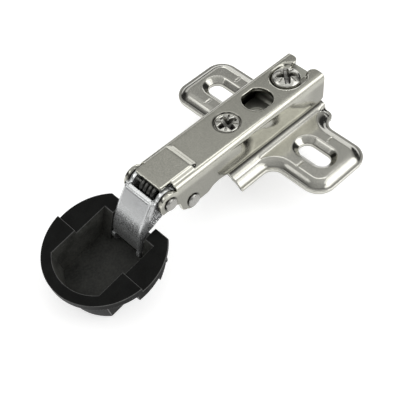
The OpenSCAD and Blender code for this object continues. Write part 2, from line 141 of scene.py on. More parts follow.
def press_sheet(name, outer, holes, creases, step, place, sheet, rounding=0.17, painted_bright=0.5):
    """Cuts a flat blank, then presses it to shape. place gives the folded position, the outward
    direction and the pressed lift of each point of the blank in millimetres, and its painted
    light: painted shade above 0 and painted highlight below 0. A lift or painted light in two
    rows treats the outer and the inner face by themselves. The last argument paints a
    highlight on the rounded outer edges."""
    loops = [np.asarray(loop, float) for loop in [outer, *holes]]
    points, drops, edges = [], [], []

    def scribe(line, drop, closed):
        first = len(points)
        points.extend(line)
        drops.extend([drop] * len(line))
        edges.extend((first + i, first + i + 1) for i in range(len(line) - 1))
        if closed:
            edges.append((first + len(line) - 1, first))

    for loop in loops:
        for part in (0.0, 0.3, 0.65, 1.0):
            drop = rounding * (1 - math.sqrt(1 - (1 - part) ** 2))
            scribe(shift_in(loop, part * rounding), drop, True)
    for line in creases:
        scribe(np.asarray(line, float), 0.0, False)
    drawn = KDTree(len(points))
    for i, p in enumerate(points):
        drawn.insert((p[0], p[1], 0), i)
    drawn.balance()
    low, high = loops[0].min(0), loops[0].max(0)
    grid = np.stack(np.meshgrid(np.arange(low[0], high[0], step[0]),
                                np.arange(low[1], high[1], step[1])), -1).reshape(-1, 2)
    grid = grid[inside(grid, loops)]
    clear = 0.55 * min(step)
    points.extend(p for p in grid if drawn.find((p[0], p[1], 0))[2] > clear)
    drops.extend([0.0] * (len(points) - len(drops)))
    cut = delaunay_2d_cdt([Vector(p) for p in points], edges, [], 0, 1e-7, True)
    flat = np.array([tuple(v) for v in cut[0]])
    drop = np.array([max((drops[i] for i in source), default=0.0) for source in cut[3]])
    faces = np.array([f for f in cut[2] if len(f) == 3])
    faces = faces[inside(flat[faces].mean(1), loops)]
    one, two = (flat[faces[:, i]] - flat[faces[:, 0]] for i in (1, 2))
    area = one[:, 0] * two[:, 1] - one[:, 1] * two[:, 0]
    faces[area < 0] = faces[area < 0][:, ::-1]
    used = np.unique(faces)
    order = np.full(len(flat), -1)
    order[used] = np.arange(len(used))
    faces = order[faces]
    base, out, lift, painted_shading = place(flat[used, 0], flat[used, 1])
    count = len(used)
    lift = np.broadcast_to(lift, (2, count))
    top = base + out * (lift[0] - drop[used])[:, None]
    under = base + out * (lift[1] - sheet + drop[used])[:, None]
    sides = {}
    for a, b, c in faces:
        for i, j in ((a, b), (b, c), (c, a)):
            sides.setdefault((min(i, j), max(i, j)), []).append((i, j))
    rim = [(j, i, i + count, j + count) for ways in sides.values() if len(ways) == 1
           for i, j in ways]
    mesh = bpy.data.meshes.new(name)
    mesh.from_pydata((np.vstack([top, under]) * MM).tolist(), [],
                     faces.tolist() + (faces[:, ::-1] + count).tolist() + rim)
    mesh.shade_smooth()
    # Stores the painted shade and highlights for the material. The rounded edges of the outer face get a
    # painted highlight.
    hollow = mesh.attributes.new("hollow", "FLOAT", "POINT")
    painted_shading = np.broadcast_to(painted_shading, (2, count)).astype(np.float32)
    painted_shading[0, drop[used] > 0.01] = -painted_bright
    hollow.data.foreach_set("value", painted_shading.ravel())
    piece = bpy.data.objects.new(name, mesh)
    bpy.context.collection.objects.link(piece)
    return piece


def new_group(name, inputs, outputs):
    """An empty shader node group with its sockets."""
    group = bpy.data.node_groups.new(name, "ShaderNodeTree")
    for label, kind, value in inputs:
        socket = group.interface.new_socket(label, in_out="INPUT", socket_type=kind)
        socket.default_value = value
    for label, kind in outputs:
        group.interface.new_socket(label, in_out="OUTPUT", socket_type=kind)
    return group, group.nodes.new("NodeGroupInput"), group.nodes.new("NodeGroupOutput")


def noise(tree, where, scale, detail, stretch=(1, 1, 1)):
    """Noise on the piece's own coordinates, stretched along an axis for drawn marks."""
    mapping = tree.nodes.new("ShaderNodeMapping")
    mapping.inputs["Scale"].default_value = stretch
    tree.links.new(where, mapping.inputs["Vector"])
    node = tree.nodes.new("ShaderNodeTexNoise")
    node.inputs["Scale"].default_value = scale
    node.inputs["Detail"].default_value = detail
    tree.links.new(mapping.outputs["Vector"], node.inputs["Vector"])
    return node.outputs["Fac"]


def ranged(tree, value, low, high, to_low, to_high):
    """A value moved from one range to another, and held inside it."""
    node = tree.nodes.new("ShaderNodeMapRange")
    node.inputs["From Min"].default_value = low
    node.inputs["From Max"].default_value = high
    node.inputs["To Min"].default_value = to_low
    node.inputs["To Max"].default_value = to_high
    tree.links.new(value, node.inputs["Value"])
    return node.outputs["Result"]


def combine(tree, operation, first, second):
    """A math node that takes two sockets or plain numbers."""
    node = tree.nodes.new("ShaderNodeMath")
    node.operation = operation
    for socket, value in zip(node.inputs, (first, second)):
        if isinstance(value, (int, float)):
            socket.default_value = value
        else:
            tree.links.new(value, socket)
    return node.outputs[0]


# Plating shows cloudy patches, specks, a fine skin like orange peel and short handling
# scratches. Painted shade darkens the colour in corners and crevices, and each piece's own
# painted shade and painted highlights darken or brighten it further.
plating, plating_in, plating_out = new_group(
    "plating marks and painted light",
    [("Tone", "NodeSocketColor", (0.6, 0.6, 0.6, 1)), ("Cloud", "NodeSocketFloat", 0.08),
     ("Gloss", "NodeSocketFloat", 0.25), ("Dulling", "NodeSocketFloat", 0.0),
     ("Mottle", "NodeSocketFloat", 0.0)],
    [("Color", "NodeSocketColor"), ("Roughness", "NodeSocketFloat"), ("Height", "NodeSocketFloat")])
where = plating.nodes.new("ShaderNodeTexCoord").outputs["Object"]
cloud = noise(plating, where, 260, 3)
peel = noise(plating, where, 2600, 2)
scratch = noise(plating, where, 1500, 2, (0.05, 1, 1))
shade = combine(plating, "MULTIPLY_ADD", combine(plating, "SUBTRACT", cloud, 0.5),
                plating_in.outputs["Cloud"])
shade.node.inputs[2].default_value = 1.0
speck = noise(plating, where, 4200, 1)
shade = combine(plating, "ADD", shade, ranged(plating, speck, 0.3, 0.7, -0.11, 0.11))
# Painted shade: an ambient occlusion node darkens the colour in corners and crevices.
corner = plating.nodes.new("ShaderNodeAmbientOcclusion")
corner.samples = 6
corner.inputs["Distance"].default_value = 0.6 * MM
painted_shading = ranged(plating, corner.outputs["AO"], 0.08, 0.5, 0.3, 1.0)
# Each piece's painted light attribute: values above 0 are painted shade, mottled by fine spots, and
# values below 0 are painted highlights.
hollow = plating.nodes.new("ShaderNodeAttribute")
hollow.attribute_name = "hollow"
painted_dark = combine(plating, "MAXIMUM", hollow.outputs["Fac"], 0.0)
painted_bright = combine(plating, "MINIMUM", hollow.outputs["Fac"], 0.0)
spot = ranged(plating, noise(plating, where, 3400, 1), 0.4, 0.6, -1.0, 1.0)
spot = combine(plating, "MULTIPLY_ADD", spot, plating_in.outputs["Mottle"])
spot.node.inputs[2].default_value = 1.0
painted_dark = combine(plating, "MULTIPLY", painted_dark, spot)
painted_shading = combine(plating, "MULTIPLY", painted_shading,
                ranged(plating, combine(plating, "ADD", painted_dark, painted_bright), -1.0, 1.0, 1.84, 0.16))
shade = combine(plating, "MULTIPLY", shade, painted_shading)
tint = plating.nodes.new("ShaderNodeVectorMath")
tint.operation = "SCALE"
plating.links.new(plating_in.outputs["Tone"], tint.inputs[0])
plating.links.new(shade, tint.inputs["Scale"])
plating.links.new(tint.outputs[0], plating_out.inputs["Color"])
streak = ranged(plating, scratch, 0.62, 0.78, 0.0, 0.06)
patch = ranged(plating, cloud, 0.3, 0.7, -0.04, 0.05)
rough = combine(plating, "ADD", plating_in.outputs["Gloss"], combine(plating, "ADD", streak, patch))
dull = combine(plating, "MULTIPLY", painted_dark, plating_in.outputs["Dulling"])
plating.links.new(combine(plating, "ADD", rough, dull), plating_out.inputs["Roughness"])
height = combine(plating, "SUBTRACT", peel, combine(plating, "MULTIPLY", streak, 0.5))
plating.links.new(height, plating_out.inputs["Height"])


def plated_metal(name, tone, gloss, cloud_share, bump, dulling=0.0, mottle=0.0, haze=0.0):
    """A metal finish that carries the plating marks, with their painted shade and highlights."""
    material = bpy.data.materials.new(name)
    material.use_nodes = True
    tree = material.node_tree
    surface = tree.nodes["Principled BSDF"]
    surface.inputs["Metallic"].default_value = 1.0 - haze
    marks = tree.nodes.new("ShaderNodeGroup")
    marks.node_tree = plating
    marks.inputs["Tone"].default_value = (*tone, 1)
    marks.inputs["Cloud"].default_value = cloud_share
    marks.inputs["Gloss"].default_value = gloss
    marks.inputs["Dulling"].default_value = dulling
    marks.inputs["Mottle"].default_value = mottle
    relief = tree.nodes.new("ShaderNodeBump")
    relief.inputs["Strength"].default_value = bump
    relief.inputs["Distance"].default_value = 0.02 * MM
    tree.links.new(marks.outputs["Color"], surface.inputs["Base Color"])
    tree.links.new(marks.outputs["Roughness"], surface.inputs["Roughness"])
    tree.links.new(marks.outputs["Height"], relief.inputs["Height"])
    tree.links.new(relief.outputs["Normal"], surface.inputs["Normal"])
    return material


nickel = plated_metal("bright satin nickel", (0.41, 0.405, 0.37), 0.14, 0.12, 0.12)

hat = bent_path([(0, ridge_low), (ridge_half, ridge_low), (ridge_half, ridge_flank),
                 (flank_y, wing_top), (wing_y + 1, wing_top)], (1.2, 0.8, 0.5))
hat = dense(hat, 0.1)
hat_s = np.concatenate([[0], np.cumsum(np.linalg.norm(np.diff(hat, axis=0), axis=1))])
hat_way = np.gradient(hat, hat_s, axis=0)
wing_shift = float(np.interp(wing_y, hat[:, 0], hat_s)) - wing_y


def past_corner(over_x, over_y, corner):
    """How far a point lies outside a rounded corner, from how far it is past its centre."""
    straight = np.minimum(np.maximum(over_x, over_y), 0)
    return straight + np.hypot(np.maximum(over_x, 0), np.maximum(over_y, 0)) - corner


def wing_edge_distance(x, y):
    """How far a point of the plan lies inside the plate's foot outline."""
    bar = past_corner(ridge_rear - x + rear_corner, np.abs(y) - ridge_foot + rear_corner, rear_corner)
    wing = past_corner(np.abs(x) - wing_x + wing_corner, np.abs(y) - wing_y + wing_corner, wing_corner)
    near = np.hypot(np.maximum(wing_root - bar, 0), np.maximum(wing_root - wing, 0))
    return near - np.maximum(wing_root, np.minimum(bar, wing))


def plate_painted_shading(x, y, z, side, cone):
    """Painted shade and painted reflections: dark lines in the lip's creases and on the front
    slopes, streaked shade in the countersinks that follows the way each part faces, shade
    under the arm, and a painted highlight on the bend at the foot of the ridge."""
    inset = wing_edge_distance(x, y)
    crease = 0.6 * np.exp(-((inset - lip_start) / 0.2) ** 2) * ease((x + 12.5) / 1.5)
    front = np.clip((inset - wing_edge_distance(x + 0.05, y)) / 0.05, 0, 1)
    crease = np.maximum(crease, 0.8 * front * np.exp(-((inset - slope_line) / 0.2) ** 2))
    slope = ease((inset - 0.9) / 0.3) * ease((3.0 - inset) / 0.4) * front * (side > 0)
    # Countersinks: painted shade that changes with the way the cone faces, with radial streaks as
    # painted reflections.
    past_slot = np.maximum(np.abs(y - slot_y) - slot_run / 2, 0)
    facing = side * np.sign(slot_y - y) * past_slot / sink_r
    turn = np.arctan2(x, past_slot)
    streak = 0.75 + 0.55 * np.sin(7 * turn + 1.0) * (past_slot > 0)
    sunk = (0.5 - 0.6 * np.clip(facing, -0.2, 0.8)) * ease(cone / 0.4) * streak
    wing = np.maximum(np.maximum(crease, sunk), 0.34 * slope) * (y > flank_y)
    painted_shading = np.maximum(wing, ease((gap_y - y) / 0.25) * (z < ridge_flank))
    return painted_shading - 0.5 * np.exp(-((y - flank_y) / 0.16) ** 2)


def place_plate(x, s):
    """Where the press puts a point of the plate's blank."""
    side = np.where(s < 0, -1.0, 1.0)
    t = np.abs(s)
    y = np.interp(t, hat_s, hat[:, 0])
    z = np.interp(t, hat_s, hat[:, 1])
    dy = np.interp(t, hat_s, hat_way[:, 0])
    dz = np.interp(t, hat_s, hat_way[:, 1])
    top = ridge_high + (ridge_low - ridge_high) * ease((x - ridge_step) / 1.0)
    tall = z > ridge_flank
    z = np.where(tall, ridge_flank + (z - ridge_flank) * (top - ridge_flank)
                 / (ridge_low - ridge_flank), z)
    base = np.stack([x, side * y, z], 1)
    out = np.stack([0 * x, -side * dz, dy], 1)
    out /= np.linalg.norm(out, axis=1, keepdims=True)
    rise = np.clip((wing_edge_distance(x, y) - lip_start) / lip_run, 0, 1)
    pressed = lip_top + (wing_top - lip_top) * (1 - (1 - rise) ** lip_swell)
    low = np.minimum(z, pressed) - z
    lift = low * ease((y - flank_y + 0.6) / 0.6)
    reach = np.hypot(x, np.maximum(np.abs(y - slot_y) - slot_run / 2, 0))
    cone = (sink_r - reach) / (sink_r - slot_r) * sink_deep
    sunk = sink_soft * np.log1p(np.exp(np.clip(cone / sink_soft, -30, 30)))
    lift = np.where(y > flank_y, lift - np.minimum(sunk, sink_deep), lift)
    across = np.abs(np.abs(y) - slot_y)
    along = np.abs(np.abs(x) - mark_x)
    mark = np.clip(1 - across / mark_wide, 0, 1) * (along < mark_long + 0.02)
    return base, out, lift - mark_deep * mark, plate_painted_shading(x, y, z, side, cone)


def plate_side(inset):
    """One long side of the plate's plan, from the front end round the wing to the rear."""
    foot, x1, y1 = ridge_foot - inset, wing_x - inset, wing_y - inset
    root, corner = wing_root + inset, wing_corner - inset
    turn_x, turn_y = wing_x + wing_root, ridge_foot + wing_root
    cx, cy = wing_x - wing_corner, wing_y - wing_corner
    line = np.vstack([[(ridge_front, foot)], arc((turn_x, turn_y), root, 270, 180, 8),
                      arc((cx, cy), corner, 0, 90, 12), arc((-cx, cy), corner, 90, 180, 12),
                      arc((-turn_x, turn_y), root, 0, -90, 8),
                      arc((ridge_rear + rear_corner, ridge_foot - rear_corner),
                          max(rear_corner - inset, 0.05), 90, 180, 6)])
    line = dense(line, 0.45)
    return np.stack([line[:, 0], line[:, 1] + wing_shift], 1)


def flip_side(line):
    """The same line on the other side, run the other way."""
    return np.stack([line[:, 0], -line[:, 1]], 1)[::-1]


def slot_loop(radius):
    """An obround round a fixing slot, turning clockwise."""
    y = slot_y + wing_shift
    line = np.vstack([arc((0, y + slot_run / 2), radius, 180, 0, 16),
                      arc((0, y - slot_run / 2), radius, 0, -180, 16)])
    return dense(np.vstack([line, line[:1]]), 0.4)[:-1]


edge = plate_side(0)
plate_outer = np.vstack([edge, dense([edge[-1], flip_side(edge)[0]], 0.4)[1:-1], flip_side(edge),
                         dense([flip_side(edge)[-1], edge[0]], 0.4)[1:-1]])
plate_creases = []
for y in (6.4, 6.6, 6.8, 7.0, 7.7, 7.8, 7.9, 8.0, 8.1):
    s = float(np.interp(y, hat[:, 0], hat_s))
    line = dense([(ridge_rear + 1.5, s), (ridge_front - 0.3, s)], 0.5)
    plate_creases += [line, flip_side(line)]
for inset in (0.4, 0.6, 0.7, 0.8, 0.95, 1.1, 1.3, 1.55, 1.85, 2.2, 2.6, 3.0, 3.3):
    plate_creases += [plate_side(inset), flip_side(plate_side(inset))]
for radius in (2.5, 2.8, 3.1, 3.4, 3.65, 3.8, 3.95, 4.15, 4.4):
    ring = slot_loop(radius)
    ring = np.vstack([ring, ring[:1]])
    plate_creases += [ring, flip_side(ring)]
for mx in (-mark_x, mark_x):
    for off in (-mark_wide, 0.0, mark_wide):
        for s in (-1, 1):
            y = s * (slot_y + wing_shift) + off
            plate_creases.append(dense([(mx - mark_long, y), (mx + mark_long, y)], 0.3))
foot_slot = np.vstack([arc((foot_slot_x, 0), foot_slot_r, 90, 270, 16),
                       [(ridge_front - 1.2, -foot_slot_r), (ridge_front - 1.2, foot_slot_r)]])
plate_holes = [slot_loop(slot_r), flip_side(slot_loop(slot_r)),
               arc((ridge_hole_x, 0), ridge_hole_r, 360, 10, 35),
               arc((clamp_x, 0), clamp_hole_r, 360, 10, 35), dense(foot_slot, 0.4)[::-1]]
plate = press_sheet("pressed_plate", plate_outer, plate_holes,
                    plate_creases, (0.5, 0.5), place_plate, plate_sheet)


def drawn_collar(piece, x, top, hole_r):
    """A collar drawn down out of the sheet round a hole in the ridge."""
    low, high = top - plate_sheet - collar_deep, top - plate_sheet + 0.2
    out_r = hole_r + collar_wall
    section = [(hole_r + 0.02, high), (hole_r + 0.02, low + 0.15), (hole_r + 0.15, low),
               (out_r - 0.15, low), (out_r, low + 0.15), (out_r, high)]
    turn = np.linspace(0, 2 * math.pi, 40, endpoint=False)
    form = bmesh.new()
    form.from_mesh(piece.data)
    rings = [[form.verts.new(((x + r * math.cos(t)) * MM, r * math.sin(t) * MM, z * MM))
              for t in turn] for r, z in section]
    for ring, after in zip(rings, rings[1:] + rings[:1]):
        for i in range(len(turn)):
            face = form.faces.new((ring[i - 1], ring[i], after[i], after[i - 1]))
            face.smooth = True
    form.to_mesh(piece.data)
    form.free()


drawn_collar(plate, clamp_x, ridge_high, clamp_hole_r)
drawn_collar(plate, ridge_hole_x, ridge_low, ridge_hole_r)
plate.data.materials.append(nickel)
# The ridge and the middle of the plate take a rougher nickel, and its darker tone is painted shade.
plate.data.materials.append(plated_metal("dull nickel with painted shade", (0.30, 0.30, 0.265), 0.45, 0.12, 0.12))
for face in plate.data.polygons:
    if face.center[2] > 4 * MM or abs(face.center[1]) < 4.5 * MM:
        face.material_index = 1
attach(plate, "plate")
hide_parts("mounting_plate")

# HINGE ARM
# One channel of the same nickel-plated sheet, bent down at both sides. A raised panel covers
# the nose, a dish takes the clamp screw, and the sides end in lobes for the pivot pins.

arm_half, arm_sheet, arm_top, arm_bend = 6.4, 1.2, 12.2, 1.6
arm_rear, shoulder_x, tongue_x, tongue_half = -14.2, 36.7, 40.1, 4.2
panel_x, panel_half, panel_corner, panel_lift, panel_slope = 28.6, 4.7, 2.0, 1.0, 1.4
dish_r, dish_run, dish_drop = 4.45, 1.5, 0.9
rear_slot_half, prong_round = 2.3, 1.6
access_x, access_r, access_half = 3.6, 3.95, 3.55
side_screw_x, side_hole_r, side_ring_r, side_ring_drop = 14.2, 3.05, 3.5, 0.4
# Radius and offset of the painted shadow round the side screw's head.
ring_shade_r, ring_shade_off = 3.7, 0.2
front_pin, rear_pin = (39.1, 8.8), (32.3, 4.4)
ear_r, ear_floor, lobe_r = 3.2, 6.75, 2.7
# Besides the wall's waviness: the reach of painted shade round the pins, the top of the hem's painted
# highlight, and the painted shade on the arm's inner face.
wall_wave, pin_shade_r, hem_top, inside_shade = 0.02, 2.2, 4.1, 0.7
arm_flat = arm_half - arm_bend
arm_wall = arm_flat + arm_bend * math.pi / 2


def down_wall(z):
    """Where a height on the arm's side lies on the flat blank."""
    return arm_wall + arm_top - arm_bend - z


def arm_painted_shading(x, z, t, dish):
    """Painted shade round the side screw where the head's shadow falls, in the clamp screw's
    dish, on the front and rear ends of the sides and round the pins, and a painted highlight
    on the hem."""
    ring = ease((ring_shade_r - np.hypot(x - side_screw_x - ring_shade_off, t)) / 0.25)
    painted_shading = np.maximum(0.95 * ring, 0.25 * dish)
    shaded_ends = np.maximum(ease((x - 18) / 6), ease((-6 - x) / 5))
    painted_shading = np.maximum(painted_shading, (0.16 + 0.28 * shaded_ends) * ease((t - arm_wall) / 1.5))
    for pin_x, pin_z in (front_pin, rear_pin):
        round_pin = ease((pin_shade_r - np.hypot(x - pin_x, z - pin_z)) / 0.3)
        painted_shading = np.maximum(painted_shading, 0.9 * round_pin * (t > arm_wall))
    return painted_shading - 0.8 * ease((hem_top - z) / 0.4) * (t > arm_wall) * (x < 21)


def place_arm(x, s):
    """Where the bending tool puts a point of the arm's blank."""
    side = np.where(s < 0, -1.0, 1.0)
    t = np.abs(s)
    turn = np.clip((t - arm_flat) / arm_bend, 0, math.pi / 2)
    turn = np.where((x > shoulder_x + 0.02) & (t > tongue_half + 0.4), math.pi / 2, turn)
    y = np.where(turn > 0, arm_flat + arm_bend * np.sin(turn), t)
    z = arm_top - arm_bend * (1 - np.cos(turn))
    z = np.where(turn >= math.pi / 2, arm_top - arm_bend - (t - arm_wall), z)
    base = np.stack([x, side * y, z], 1)
    out = np.stack([0 * x, side * np.sin(turn), np.cos(turn)], 1)
    edge = np.hypot(np.maximum(panel_x + panel_corner - x, 0),
                    np.maximum(t - panel_half + panel_corner, 0)) - panel_corner
    step = np.clip((x - panel_x + 0.3) / (panel_slope + 0.6), 0, 1)
    rise = np.minimum(ease((0.45 - edge) / 0.95), 0.3 * step + 0.7 * ease(step))
    lift = panel_lift * rise * (t < arm_flat + 0.6)
    edge = np.hypot(np.maximum(np.abs(x - clamp_x + dish_run / 2) - dish_run / 2, 0), t) - dish_r
    lift = lift - dish_drop * ease(-edge / 0.7)
    lift = lift - side_ring_drop * ease((side_ring_r - np.hypot(x - side_screw_x, t)) / 0.25)
    uneven = np.sin(0.55 * x + 1.3) * np.sin(0.7 * z) * ease((t - arm_wall) / 2)
    lift = lift - wall_wave * (1 + uneven) * (t > arm_wall)
    # Painted shade and highlights on the outer face, and even painted shade on the inner face.
    painted_shading = arm_painted_shading(x, z, t, ease(-edge / 0.3))
    return base, out, lift, np.stack([painted_shading, 0 * x + inside_shade])


ear_low = math.degrees(math.asin((ear_floor - front_pin[1]) / ear_r))
ear_back = math.degrees(math.acos((shoulder_x - front_pin[0]) / ear_r))
ear = arc(front_pin, ear_r, ear_back, ear_low, 36)
lobe = arc(rear_pin, lobe_r, -40, -140, 16)
lower = bent_path([(40.2, ear_floor), (37.2, 6.7), (36.4, 6.2), (35.7, 3.4), (34.6, 2.6),
                   (34.37, 2.66)], (0.5, 0.5, 0.5, 0.1))
hem = bent_path([(30.23, 2.66), (27.4, 2.7), (25.6, 3.8), (23.4, 4.1), (20.5, 3.6), (-13.2, 3.4),
                 (arm_rear, 4.4), (arm_rear, 6)], (1.2, 1.2, 1.5, 1.5, 0.5, 0.5))
side_edge = np.vstack([ear, lower, lobe, hem])
side_edge = np.stack([side_edge[:, 0], down_wall(side_edge[:, 1])], 1)
slot_end = clamp_x + 0.7
nose = bent_path([(tongue_x, 0), (tongue_x, tongue_half), (shoulder_x, tongue_half),
                  (shoulder_x, down_wall(ear[0, 1]))], (0.5, 0.3))
prong = arc((arm_rear + prong_round, rear_slot_half + prong_round), prong_round, 180, 270, 8)
arm_edge = np.vstack([nose, side_edge[1:], prong,
                      arc((slot_end, 0), rear_slot_half, 90, 0, 10)])
arm_edge = dense(arm_edge, 0.3)
arm_outer = np.vstack([arm_edge, flip_side(arm_edge)[1:-1]])
access_turn = math.degrees(math.asin(access_half / access_r))
access = np.vstack([arc((access_x, 0), access_r, access_turn, -access_turn, 20),
                    arc((access_x, 0), access_r, 180 + access_turn, 180 - access_turn, 20)])
access = dense(np.vstack([access, access[:1]]), 0.3)[:-1]
arm_creases = []
for k in range(9):
    s = arm_flat + arm_bend * math.pi / 16 * k
    line = dense([(arm_rear + 0.3, s), (shoulder_x - 0.3, s)], 0.6)
    arm_creases += [line, flip_side(line)]
for off in (-0.5, -0.3, -0.1, 0.1, 0.3, 0.45):
    r = panel_corner + off
    half = panel_half - panel_corner
    line = np.vstack([[(shoulder_x - 0.3, half + r)],
                      arc((panel_x + panel_corner, half), r, 90, 180, 10),
                      arc((panel_x + panel_corner, -half), r, 180, 270, 10),
                      [(shoulder_x - 0.3, -half - r)]])
    arm_creases.append(dense(line, 0.4))
for off in np.arange(0, 2.0, 0.24):
    x = panel_x - 0.3 + off
    arm_creases.append(dense([(x, -2.7), (x, 2.7)], 0.4))
for off in (-0.75, -0.6, -0.45, -0.3, -0.15, 0.0):
    r = dish_r + off
    start = arc((clamp_x - dish_run, 0), r, 120, 90, 4)
    if r > 4.2:
        start = np.array([(arm_rear + 2.2, r)])
    line = np.vstack([start, arc((clamp_x, 0), r, 90, -90, 24), flip_side(start)])
    arm_creases.append(dense(line, 0.4))
for r in (3.25, 3.35, 3.42, 3.5, 3.65, 3.78, 3.92):
    arm_creases.append(arc((side_screw_x, 0), r, 0, 360, 48))
for pin_x, pin_z in (front_pin, rear_pin):
    for r in (1.7, 1.9, 2.0, 2.1, 2.2):
        line = arc((pin_x, down_wall(pin_z)), r, 0, 360, 32)
        arm_creases += [line, flip_side(line)]
arm = press_sheet("bent_arm", arm_outer, [access, arc((side_screw_x, 0), side_hole_r, 360, 8, 44)],
                  arm_creases, (0.5, 0.4), place_arm, arm_sheet)
arm.data.materials.append(plated_metal("soft satin nickel", (0.41, 0.405, 0.36), 0.12, 0.12, 0.12))
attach(arm, "arm")
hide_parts("hinge_arm")

# OUTER LINK
# A bright stamping folded to a U, with a bowed front wall. It turns on the arm's front pin
# and reaches down to the lower pin inside the cup.

pivots = {j["name"]: np.array(j["pos_m"]) / MM
          for j in frame["record"]["behaviour"]["joints"] if "pos_m" in j}
link_low, link_high = pivots["cup_swing"][[0, 2]], pivots["outer_swing"][[0, 2]]
link_length = float(np.linalg.norm(link_high - link_low))
link_along = (link_high - link_low) / link_length
link_out = np.array([link_along[1], -link_along[0]])
link_half, link_sheet, link_bend = 4.95, 1.1, 1.1
link_eye, link_bow, link_foot = 1.9, 2.78, 0.3
link_top = link_length - 0.3
link_cut = link_sheet * -link_along[0] / link_along[1]
link_flat = link_half - link_bend
link_wall = link_flat + link_bend * math.pi / 2


def link_front(u):
    """How far the bowed front wall stands out from the line between the pins."""
    return link_eye + link_bow * (1 - (1 - np.clip(u / link_top, 0, 1)) ** 3.5)


def place_link(s, u):
    """Where the press puts a point of the link's blank. u runs from the lower pin to the upper."""
    side = np.where(s < 0, -1.0, 1.0)
    t = np.abs(s)
    turn = np.clip((t - link_flat) / link_bend, 0, math.pi / 2)
    eye_part = ((u < -0.05) | (u > link_top + 0.05)) & (t > link_flat)
    turn = np.where(eye_part, math.pi / 2, turn)
    y = np.where(turn > 0, link_flat + link_bend * np.sin(turn), t)
    v = link_front(u) - link_bend * (1 - np.cos(turn))
    v = np.where(turn >= math.pi / 2, link_front(u) - link_bend - (t - link_wall), v)
    plan = link_low + np.outer(u, link_along) + np.outer(v, link_out)
    base = np.stack([plan[:, 0], side * y, plan[:, 1]], 1)
    slope = (link_front(u + 0.05) - link_front(u - 0.05)) / 0.1
    wall_out = link_out[None] - slope[:, None] * link_along[None]
    wall_out /= np.linalg.norm(wall_out, axis=1, keepdims=True)
    c = np.cos(turn)
    out = np.stack([wall_out[:, 0] * c, side * np.sin(turn), wall_out[:, 1] * c], 1)
    cut_full = (link_sheet - 0.15) * c
    level_cut = np.clip((u - link_top + link_cut) / link_cut, 0, 1) * cut_full
    # Painted shade and highlights: a mottled darker band low on the web and darker side walls stand for
    # reflections, a bright line runs along each bend, and the level cut at the top is painted bright.
    painted_shading = 0.45 * ease((u - 1.5) / 3.0) * (1 - ease((u - 5.0) / 3.5))
    painted_shading = np.maximum(painted_shading, 0.65 * ease((t - link_wall) / 0.6))
    painted_bend_highlight = 0.8 * np.exp(-((turn - 0.4) / 0.22) ** 2)
    painted_shading = painted_shading + (0.2 * np.sin(2 * turn) - painted_bend_highlight) * (u > 0)
    painted_shading = np.where(level_cut > 0.35 * cut_full, -0.9, painted_shading)
    return base, out, np.stack([-level_cut, 0 * u]), painted_shading


cheek = np.vstack([[(link_top + 0.2, 3.6)], arc((link_length, 0), 3.0, 90, -20, 16),
                   arc((link_length, 0), 1.75, -35, -95, 8),
                   bent_path([(12.5, -1.4), (10.3, -0.85), (7.7, 0.65), (6.4, 1.6), (5.4, 2.35),
                              (3.6, 2.3), (2.6, 1.1), (1.4, -1.2), (0.4, -1.85)],
                             (1.0, 1.0, 1.0, 0.6, 0.6, 0.8, 0.8)),
                   arc((0, 0), link_eye, 270, 100, 20)])
cheek = np.stack([link_wall + link_front(cheek[:, 0]) - link_bend - cheek[:, 1], cheek[:, 0]], 1)
half_edge = dense(np.vstack([[(0, link_top), (link_flat + 0.4, link_top)], cheek,
                             [(link_flat, link_foot), (0, link_foot)]]), 0.25)
link_outer = np.vstack([half_edge[::-1], (half_edge * (-1, 1))[1:-1]])
link_creases = []
for k in range(9):
    s = link_flat + link_bend * math.pi / 16 * k
    line = dense([(s, link_foot), (s, link_top - 0.1)], 0.4)
    link_creases += [line, line * (-1, 1)]
for u in (link_top - link_cut, link_top - 0.7 * link_cut, link_top - 0.6 * link_cut, link_top - 0.1):
    link_creases.append(dense([(-link_wall, u), (link_wall, u)], 0.4))
link = press_sheet("bowed_outer_link", link_outer, [], link_creases, (0.4, 0.4), place_link,
                   link_sheet, rounding=0.1)
bright_nickel = plated_metal("bright nickel", (0.50, 0.508, 0.51), 0.24, 0.12, 0.8,
                             dulling=0.8, mottle=1.0, haze=0.22)
link.data.materials.append(bright_nickel)
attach(link, "outer_link")
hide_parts("outer_link")

# CLAMP SCREW AND SIDE SCREW
# Turned steel screws with a bright plating. The clamp screw's domed head holds the arm to the
# plate, and the flush one tilts it sideways. Both have a pressed cross recess with short
# grooves between its arms.

recess_wall, recess_rings, recess_rays = 0.5, 56, 256
tick_half, tick_deep = 0.26, 0.35


